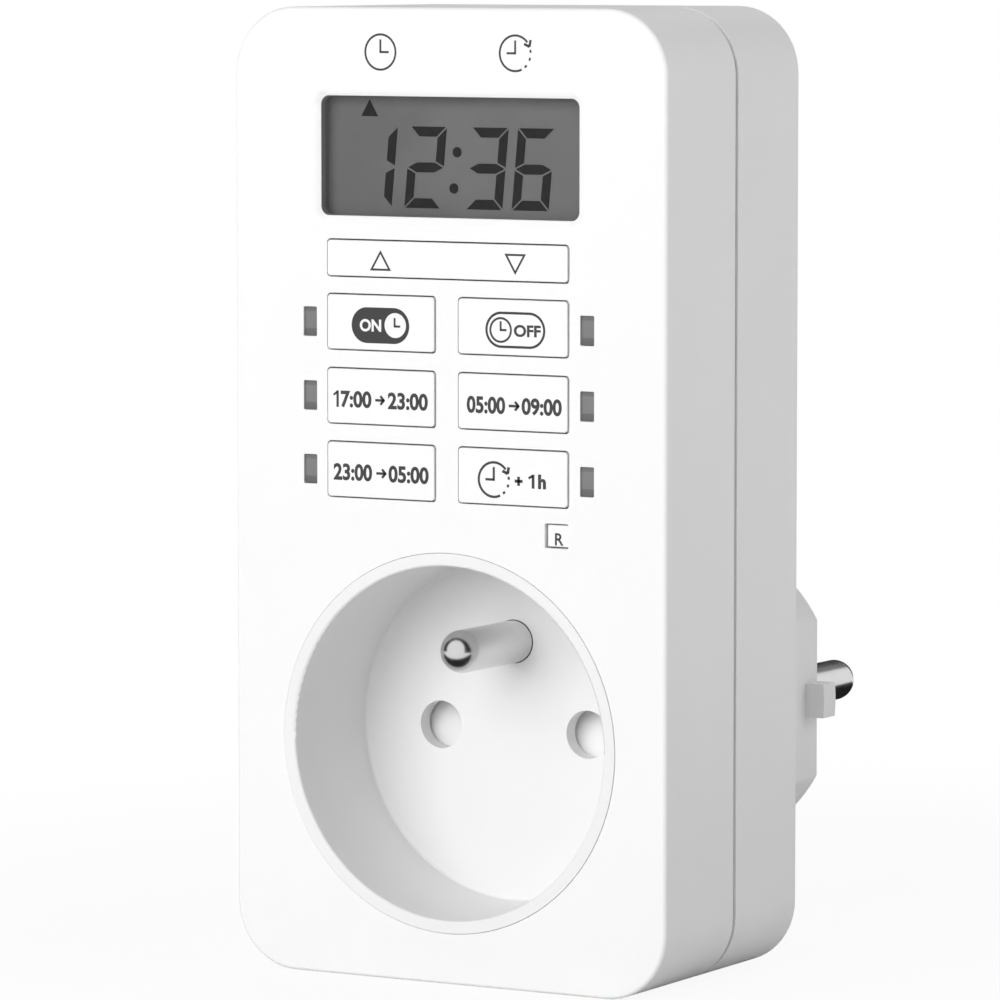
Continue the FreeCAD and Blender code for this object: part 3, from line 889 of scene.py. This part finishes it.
    def press(
        self, name: str, finish: Finish, y: float, body: str = "case", thick: float = PRINT_THICK
    ) -> bpy.types.Object:
        """Raises the drawing to a thin layer on a face.

        Args:
            name: the piece's name.
            finish: its finish.
            y: depth of the face.
            body: the body it moves with.
            thick: thickness of the layer.

        Returns:
            The piece.
        """
        raised = bmesh.ops.extrude_face_region(self.bm, geom=list(self.bm.faces), use_keep_orig=True)
        moved = [v for v in raised["geom"] if isinstance(v, bmesh.types.BMVert)]
        bmesh.ops.translate(self.bm, verts=moved, vec=(0, 0, thick))
        bmesh.ops.recalc_face_normals(self.bm, faces=self.bm.faces)
        self.bm.transform(facing(y))
        return finish_piece(self.bm, name, finish, body, sharp=PRINT_SHARP)


# Lit segments of each sign that the display shows.
SEGMENTS = {"1": "bc", "2": "abged", "3": "abgcd", "6": "acdefg"}
# Corners of a digit closer than this to a height are on it.
NEAR = 1e-3


@dataclass(frozen=True)
class Digit:
    """One seven-segment digit of the display.

    Args:
        sign: the number it shows.
        x: left of its foot.
        width: its width.
        low: its foot.
        high: its head.
        slant: how far its head leans right.
        bar: width of a segment.
        gap: gap between segments.
    """

    sign: str
    x: float
    width: float = 4.85
    low: float = 85.95
    high: float = 95.15
    slant: float = 0.85
    bar: float = 1.28
    gap: float = 0.18

    def draw(self, stencil: Stencil) -> None:
        """Adds the lit segments to a drawing.

        Args:
            stencil: the drawing.
        """
        bm = bmesh.new()
        height = self.high - self.low
        mid = height / 2
        place = Matrix.Translation((self.width / 2, mid, 0))
        size = Matrix.Diagonal((self.width, height, 1, 1))
        bmesh.ops.create_grid(bm, x_segments=1, y_segments=2, size=0.5, matrix=place @ size)
        cells = list(bm.faces)
        bmesh.ops.inset_individual(bm, faces=cells, thickness=self.bar, use_even_offset=True)
        bmesh.ops.delete(bm, geom=cells, context="FACES")
        for vert in bm.verts:
            away = vert.co.y - mid
            if abs(abs(away) - self.bar) < NEAR:
                vert.co.y = mid + math.copysign(self.bar / 2, away)
        lit = SEGMENTS[self.sign]
        dark = [face for face in bm.faces if self.segment(face.calc_center_median(), height) not in lit]
        bmesh.ops.delete(bm, geom=dark, context="FACES")
        inner = [edge for edge in bm.edges if len(edge.link_faces) == 2]
        seams = [edge for edge in inner if all(abs(vert.co.y - mid) < NEAR for vert in edge.verts)]
        bmesh.ops.dissolve_edges(bm, edges=seams, use_verts=False)
        rims = bmesh.ops.inset_individual(
            bm, faces=list(bm.faces), thickness=self.gap / 2, use_even_offset=True
        )["faces"]
        bmesh.ops.delete(bm, geom=rims, context="FACES")
        for vert in bm.verts:
            vert.co.x += vert.co.y * self.slant / height
        bm.transform(Matrix.Translation((self.x, up(self.low), 0)))
        mesh = as_mesh(bm, "digit")
        stencil.bm.from_mesh(mesh)
        bpy.data.meshes.remove(mesh)

    def segment(self, centre: Vector, height: float) -> str:
        """Letter of the segment at a point.

        Args:
            centre: middle of the segment's face.
            height: height of the digit.

        Returns:
            Its usual letter, a to g.
        """
        upper = centre.y > height / 2
        if centre.y > height - self.bar:
            return "a"
        if centre.y < self.bar:
            return "d"
        if centre.x < self.bar:
            return "f" if upper else "e"
        if centre.x > self.width - self.bar:
            return "b" if upper else "c"
        return "g"


@dataclass
class CaseShell:
    """Front cover, rear cover and plug body, with the screws in the back.

    Args:
        soft: rounding of the crisp edges, mm.
        reach: how far past the display window its opening's wall may lie, m.
        slope: a wall's normal leans forward by less than this.
    """

    soft: float = 0.05
    reach: float = 0.00015
    slope: float = 0.3

    def build(self) -> None:
        """Makes the three mouldings and dresses the screws."""
        self.paint_opening_shade(moulding("front_cover", WHITE_COVER, soft=self.soft))
        moulding("rear_cover", WHITE_CASE, soft=self.soft)
        moulding("plug_body", WHITE_CASE, soft=self.soft)
        moulding("housing_screws", SCREW_STEEL)

    def paint_opening_shade(self, cover: bpy.types.Object) -> None:
        """Paints shade on the inner wall of the display's opening: a dark grey where the white cover's
        wall lies in shadow.

        Args:
            cover: the front cover.
        """
        cover.data.materials.append(OPENING_WALL_PAINTED_SHADE.material())
        low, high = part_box("display_window")
        for face in cover.data.polygons:
            near = all(
                low[axis] - self.reach <= face.center[axis] <= high[axis] + self.reach
                for axis in (0, 2)
            )
            if near and abs(face.normal.y) < self.slope:
                face.material_index = 1


@dataclass
class SocketWell:
    """The recess in the front, with its earth pin and shutter.

    Args:
        soft: rounding of the crisp edges, mm.
    """

    soft: float = 0.08

    def build(self) -> None:
        """Makes the well and what shows in it."""
        moulding("socket_cup", WELL_WHITE_PAINTED_SHADE, soft=self.soft)
        moulding("socket_earth_pin", PLATED)
        moulding("socket_shutter", SHUTTER_PAINTED_LIGHT, body="socket_shutter")
        dress("shutter_spring", SPRING)


@dataclass
class PlugPins:
    """The two pins of the plug and what holds them.

    Args:
        brass: the sheet and tube parts of brass.
    """

    brass: tuple[str, ...] = (
        *("live_contact", "neutral_contact", "live_link", "neutral_link"),
        *("plug_earth_sleeve", "earth_strap"),
    )

    def build(self) -> None:
        """Makes the pins and dresses the parts inside the boss."""
        for node in ("live_pin", "neutral_pin"):
            moulding(node, PLATED)
        for node in self.brass:
            dress(node, BRASS)
        dress("contact_carrier", CARRIER)
        dress("pin_holder", CARRIER)
        dress("pin_holder_screws", SCREW_STEEL)


@dataclass
class KeyPad:
    """The six push keys, the rocker and the small reset key, with their print.

    Args:
        keys: the keys, each of which is a body of its own.
        line: width of a thin printed line.
        bold: how much wider a bolder line is.
        weight: how much bolder the lettering is than the plain font.
        stroke: width of the stroke of a drawn figure.
        tall: height of the times.
        arrow_line: width of the lines of the arrow between two times.
        arrow_head: half the height of that arrow's head.
        sign_line: width of the outline of the rocker's signs.
        sign_width: width of the rocker's signs.
    """

    keys: tuple[str, ...] = (
        "key_on",
        "key_off",
        "key_evening",
        "key_morning",
        "key_night",
        "key_plus_hour",
        "rocker_key",
        "reset_key",
    )
    line: float = 0.24
    bold: float = 1.15
    weight: float = 0.034
    stroke: float = 0.3
    tall: float = 1.9
    arrow_line: float = 0.288
    arrow_head: float = 0.48
    sign_line: float = 0.23
    sign_width: float = 2.72

    def build(self) -> None:
        """Makes the keys and prints them."""
        for key in self.keys:
            moulding(key, WHITE_KEY, key)
        self.print_rocker()
        self.print_on()
        self.print_off()
        self.print_times()
        self.print_plus_hour()
        self.print_reset()

    def print_rocker(self) -> None:
        """Up and down signs on the rocker."""
        sheet = Stencil()
        for x, foot, tip in ((-8.42, 79.12, 81.4), (8.76, 81.4, 79.1)):
            sheet.triangle(x, up(foot), up(tip), self.sign_width, self.sign_line)
        sheet.press("rocker_signs", PRINT_INK, KEY_FACE_Y, "rocker_key")

    def print_on(self) -> None:
        """Filled sign of the ON key, with its lettering and clock in white."""
        sheet = Stencil()
        sheet.pill((-12.16, -4.72, up(71.05), up(75.03)), 1.98)
        sheet.press("on_pill", PRINT_INK, KEY_FACE_Y, "key_on")
        sheet = Stencil()
        sheet.words("ON", (-11.1, -8.33, up(72.33), up(73.72)), self.weight)
        sheet.disc(-6.52, up(73.1), 1.38)
        sheet.press("on_sign", PRINT_WHITE, KEY_FACE_Y - PRINT_THICK, "key_on", PRINT_THICK / 2)
        sheet = Stencil()
        sheet.clock(-6.6, up(73.0), 1.38, self.line, ClockStyle.PLAIN, ring=False)
        sheet.press("on_clock", PRINT_INK, KEY_FACE_Y - PRINT_THICK * 1.5, "key_on", PRINT_THICK / 2)

    def print_off(self) -> None:
        """Outlined sign of the OFF key."""
        sheet = Stencil()
        pill = sheet.pill((5.0, 12.55, up(71.06), up(75.05)), 1.99)
        sheet.hollow(pill, self.line * self.bold)
        sheet.clock(6.93, up(73.03), 1.42, self.line, ClockStyle.PLAIN)
        sheet.words("OFF", (8.6, 11.98, up(72.33), up(73.66)), self.weight)
        sheet.press("off_sign", PRINT_INK, KEY_FACE_Y, "key_off")

    def print_times(self) -> None:
        """Start and end times on three keys."""
        rows = (
            ("key_evening", "7:00", "23:00", (-13.6, -9.62), (-9.12, -7.96), (-7.5, -2.35), 63.78),
            ("key_morning", "05:00", "09:00", (2.63, 7.5), (7.96, 9.24), (9.58, 14.62), 63.78),
            ("key_night", "23:00", "05:00", (-14.55, -9.55), (-9.0, -7.76), (-7.42, -2.25), 55.65),
        )
        for key, start, end, first, arrow, last, foot in rows:
            sheet = Stencil()
            low, high = up(foot), up(foot + self.tall)
            sheet.words(start, (*first, low, high), self.weight)
            sheet.words(end, (*last, low, high), self.weight)
            sheet.arrow(*arrow, (low + high) / 2, self.arrow_line, self.arrow_head)
            if key == "key_evening":
                sheet.figure_one((-14.53, -13.86, low + 0.03, high - 0.03), self.stroke)
            sheet.press(key + "_times", PRINT_INK, KEY_FACE_Y, key)

    def print_plus_hour(self) -> None:
        """Countdown sign and its step on the last key."""
        sheet = Stencil()
        stroke = self.stroke * self.bold
        sheet.clock(6.06, up(56.55), 2.04, self.line * self.bold, ClockStyle.COUNTDOWN)
        sheet.stroke((8.7, up(56.5)), (9.7, up(56.5)), stroke)
        sheet.stroke((9.2, up(56.0)), (9.2, up(57.0)), stroke)
        sheet.figure_one((10.45, 11.2, up(55.77), up(57.3)), stroke)
        sheet.words("h", (11.65, 12.65, up(55.75), up(57.35)), self.weight * 1.4)
        sheet.press("plus_hour_sign", PRINT_INK, KEY_FACE_Y, "key_plus_hour")

    def print_reset(self) -> None:
        """Letter on the reset key."""
        sheet = Stencil()
        sheet.words("R", (13.46, 14.53, up(49.6), up(50.95)), self.weight / 2)
        sheet.press("reset_sign", PRINT_INK, RESET_FACE_Y, "reset_key")


@dataclass
class Display:
    """The liquid crystal display behind its clear window.

    Args:
        ink: thickness of a dark segment.
        dot: radius of the two dots of the colon.
        digits: the figures it shows.
    """

    ink: float = 0.012
    dot: float = 0.58
    digits: tuple[Digit, ...] = (Digit("1", -13.05), Digit("2", -6.75), Digit("3", 1.1), Digit("6", 6.95))

    def build(self) -> None:
        """Makes the display's parts and the time it shows."""
        moulding("display_window", CLEAR)
        dress("lcd_panel", LIQUID_CRYSTAL)
        dress("lcd_reflector", FOIL)
        dress("lcd_frame", FRAME_PLASTIC)
        dress("lcd_contact_strip", RUBBER)
        sheet = Stencil()
        for digit in self.digits:
            digit.draw(sheet)
        sheet.disc(0.13, up(92.3), self.dot)
        sheet.disc(-0.28, up(88.3), self.dot)
        sheet.triangle(-11.1, up(96.1), up(97.98), 2.2)
        sheet.press("display_segments", LCD_INK, CRYSTAL_Y, thick=self.ink)


@dataclass
class IndicatorWindows:
    """The six smoked windows beside the keys.

    Args:
        count: number of windows.
    """

    count: int = 6

    def build(self) -> None:
        """Makes the windows."""
        for number in range(1, self.count + 1):
            moulding(f"light_window_{number}", SMOKED)


@dataclass
class FaceIcons:
    """The two signs printed above the display.

    Args:
        line: width of their lines.
        radius: their outer radius.
    """

    line: float = 0.24
    radius: float = 2.06

    def build(self) -> None:
        """Prints a clock and a countdown sign."""
        sheet = Stencil()
        sheet.clock(-8.49, up(103.25), self.radius, self.line, ClockStyle.PLAIN)
        sheet.clock(8.65, up(103.26), self.radius, self.line, ClockStyle.COUNTDOWN)
        sheet.press("face_icons", PRINT_INK, FACE_Y)


@dataclass
class Internals:
    """Boards and parts behind the keys."""

    def build(self) -> None:
        """Dresses each part where it stands."""
        finishes = {
            "key_mat": SILICONE,
            "control_board": BOARD,
            "power_board": BOARD,
            "control_board_screws": SCREW_STEEL,
            "power_board_screws": SCREW_STEEL,
            "indicator_leds": LED_BODY,
            "microcontroller": CHIP,
            "crystal": CELL_STEEL,
            "backup_cell": CELL_STEEL,
            "board_header": HEADER,
            "relay": CHIP,
            "film_capacitor": FILM_BOX,
            "varistor": VARISTOR,
            "fuse_resistor": RESISTOR,
            "bridge_rectifier": CHIP,
            "supply_capacitor": CAN_SLEEVE,
            "filter_capacitor": CAN_SLEEVE,
        }
        for node, finish in finishes.items():
            dress(node, finish)
        LOG.info("internals: %d parts dressed", len(finishes))


@dataclass(frozen=True)
class SoftLamp:
    """One large soft square lamp that is turned to the object.

    Args:
        name: its name.
        power: its power, W.
        size: its side, m.
        place: where it stands, m.
    """

    name: str
    power: float
    size: float
    place: Point

    def hang(self, aim: Point) -> None:
        """Puts the lamp in its place.

        Args:
            aim: the point it is turned to, m.
        """
        lamp = bpy.data.lights.new(self.name, "AREA")
        lamp.shape = "SQUARE"
        lamp.size = self.size
        lamp.energy = self.power
        holder = linked(self.name, lamp)
        holder.location = self.place
        holder.rotation_euler = (Vector(aim) - Vector(self.place)).to_track_quat("-Z", "Y").to_euler()
        holder.visible_glossy = False


def stand_mirrored(name: str, bm: bmesh.types.BMesh) -> None:
    """Puts up a dark sheet that only shiny surfaces mirror.

    Args:
        name: the sheet's name.
        bm: its shape, used up here.
    """
    mesh = as_mesh(bm, name)
    mesh.materials.append(CARD_FELT.material())
    sheet = linked(name, mesh)
    sheet.visible_camera = False
    sheet.visible_diffuse = False
    sheet.visible_shadow = False


def aimed(place: Point, aim: Point) -> Matrix:
    """A place whose Z axis points to an aim.

    Args:
        place: the place, m.
        aim: the point that the axis is turned to, m.

    Returns:
        Its matrix.
    """
    turn = (Vector(aim) - Vector(place)).to_track_quat("Z", "Y").to_matrix().to_4x4()
    return Matrix.Translation(place) @ turn


@dataclass(frozen=True)
class DarkCard:
    """A dark card that only shiny surfaces mirror; it blocks no light.

    Args:
        name: its name.
        width: its width, m.
        height: its height, m.
        place: its middle, m.
        aim: the point it is turned to, m.
    """

    name: str
    width: float
    height: float
    place: Point
    aim: Point

    def stand(self) -> None:
        """Puts the card in its place."""
        bm = bmesh.new()
        place = aimed(self.place, self.aim) @ Matrix.Diagonal((self.width, self.height, 1, 1))
        bmesh.ops.create_grid(bm, x_segments=1, y_segments=1, size=0.5, matrix=place)
        stand_mirrored(self.name, bm)


@dataclass(frozen=True)
class DarkHood:
    """A dark open tube round the front that leaves shiny surfaces one round light spot.

    Args:
        name: its name.
        radius: its radius, m.
        length: its length, m.
        start: the middle of its rear end, m.
        aim: the point its axis is turned to, m.
    """

    name: str
    radius: float
    length: float
    start: Point
    aim: Point

    def stand(self) -> None:
        """Puts the hood in its place."""
        bm = bmesh.new()
        place = aimed(self.start, self.aim) @ Matrix.Translation((0, 0, self.length / 2))
        bmesh.ops.create_cone(
            bm,
            cap_ends=False,
            segments=RING_STEPS,
            radius1=self.radius,
            radius2=self.radius,
            depth=self.length,
            matrix=place,
        )
        stand_mirrored(self.name, bm)


@dataclass
class Studio:
    """Floor, light and camera.

    Args:
        world: strength of the even light from all sides.
        lamps: the soft lamps.
        cards: the dark cards and the hood.
        aim: the point the lamps are turned to, m.
        floor_half: half the floor's side, m.
        floor_gap: how far the floor lies below the case, mm.
        floor_white: how much of the floor's look is plain white near the object.
        floor_fade: between these distances, m, its look turns to all plain white.
        camera_place: where the camera stands, m.
        camera_drop: how far it looks down, degrees.
        camera_turn: how far it is turned left, degrees.
        lens: its focal length, mm.
    """

    world: float = 0.16
    lamps: tuple[SoftLamp, ...] = (
        SoftLamp("key_light", 30.0, 1.6, (-0.25, -1.6, 0.6)),
        SoftLamp("side_light", 4.7, 0.9, (1.08, 0.3, 0.52)),
        SoftLamp("back_light", 8.5, 0.9, (-0.5, 1.1, 0.6)),
    )
    cards: tuple[DarkCard | DarkHood, ...] = (
        DarkHood("front_hood", 0.9, 0.75, (0.0, -0.03, 0.01), (-0.119, -1.0, 0.218)),
        DarkCard("back_card", 1.15, 0.8, (-0.35, 1.2, 0.37), (-0.1, 0.0, 0.37)),
        DarkCard("floor_card", 0.6, 0.285, (0.0, 0.0325, -0.0269), (0.0, 0.0325, 1.0)),
    )
    aim: Point = (0.0, -0.04, 0.027)
    floor_half: float = 3.0
    floor_gap: float = 0.05
    floor_white: float = 0.92
    floor_fade: Span = (0.06, 0.17)
    camera_place: Point = (0.3499, -0.6532, 0.0886)
    camera_drop: float = 5.092
    camera_turn: float = 29.986
    lens: float = 226.03

    def build(self) -> None:
        """Sets up everything round the object."""
        self.light_world()
        for lamp in self.lamps:
            lamp.hang(self.aim)
        for card in self.cards:
            card.stand()
        self.lay_floor()
        self.place_camera()

    def seen_directly(self, tree: Tree) -> Socket:
        """A mask that is 1 for camera, mirror and glass rays.

        Args:
            tree: the node tree that needs it.

        Returns:
            The mask's socket.
        """
        path = add_node(tree, "LightPath").outputs
        direct = maths(tree, "MAXIMUM", path["Is Camera Ray"], path["Is Glossy Ray"])
        return maths(tree, "MAXIMUM", direct, path["Is Transmission Ray"])

    def light_world(self) -> None:
        """Even light all round, and a plain white background."""
        world = bpy.data.worlds.new("studio")
        world.use_nodes = True
        bpy.context.scene.world = world
        tree = world.node_tree
        even = tree.nodes["Background"]
        feed(even, {"Color": WHITE, "Strength": self.world})
        white = add_node(tree, "Background", {"Color": WHITE, "Strength": 1.0})
        parts = {0: self.seen_directly(tree), 1: even.outputs[0], 2: white.outputs[0]}
        mix = add_node(tree, "MixShader", parts)
        feed(tree.nodes["World Output"], {"Surface": mix.outputs[0]})

    def lay_floor(self) -> None:
        """A pale floor that keeps a little of the object's shadow."""
        bm = bmesh.new()
        level = Matrix.Translation((0, 0, -(AXIS_UP + self.floor_gap) * MM))
        bmesh.ops.create_grid(bm, x_segments=1, y_segments=1, size=self.floor_half, matrix=level)
        mesh = as_mesh(bm, "floor")
        floor = linked("floor", mesh)
        made = bpy.data.materials.new("pale_floor")
        made.use_nodes = True
        mesh.materials.append(made)
        tree = made.node_tree
        shader = tree.nodes["Principled BSDF"]
        place = own_place(tree)
        paper = noise(tree, place, scale=6.0, detail=3.0)
        tone = add_node(tree, "MapRange", {"Value": paper, "To Min": 0.84, "To Max": 0.88}).outputs[0]
        feed(shader, {"Base Color": tone, "Roughness": 0.9, "Specular IOR Level": 0.0})
        glow = add_node(tree, "Emission", {"Color": WHITE, "Strength": 1.0})
        near, far = self.floor_fade
        limits = {
            "Value": add_node(tree, "VectorMath", {0: place}, operation="LENGTH").outputs["Value"],
            "From Min": near,
            "From Max": far,
            "To Min": self.floor_white,
            "To Max": 1.0,
        }
        fade = add_node(tree, "MapRange", limits, interpolation_type="SMOOTHSTEP").outputs[0]
        share = maths(tree, "MULTIPLY", self.seen_directly(tree), fade)
        mix = add_node(tree, "MixShader", {0: share, 1: shader.outputs[0], 2: glow.outputs[0]})
        feed(tree.nodes["Material Output"], {"Surface": mix.outputs[0]})

    def place_camera(self) -> None:
        """The camera, at the picture's angle."""
        camera = bpy.data.cameras.new("camera")
        camera.lens = self.lens
        camera.sensor_width = 36.0
        camera.clip_start = 0.01
        camera.clip_end = 20.0
        holder = linked("camera", camera)
        holder.location = self.camera_place
        turn = (math.radians(90 - self.camera_drop), 0.0, math.radians(self.camera_turn))
        holder.rotation_euler = turn
        bpy.context.scene.camera = holder


def main() -> None:
    """Builds the timer switch in order, then its studio."""
    logging.basicConfig(level=logging.INFO, format="%(name)s %(message)s")
    bpy.context.scene.view_settings.view_transform = "Standard"
    outside = (CaseShell, SocketWell, PlugPins, KeyPad, Display, IndicatorWindows, FaceIcons)
    for part in (*outside, Internals):
        LOG.info("building %s", part.__name__)
        part().build()
    Studio().build()


if __name__ == "__main__":
    main()
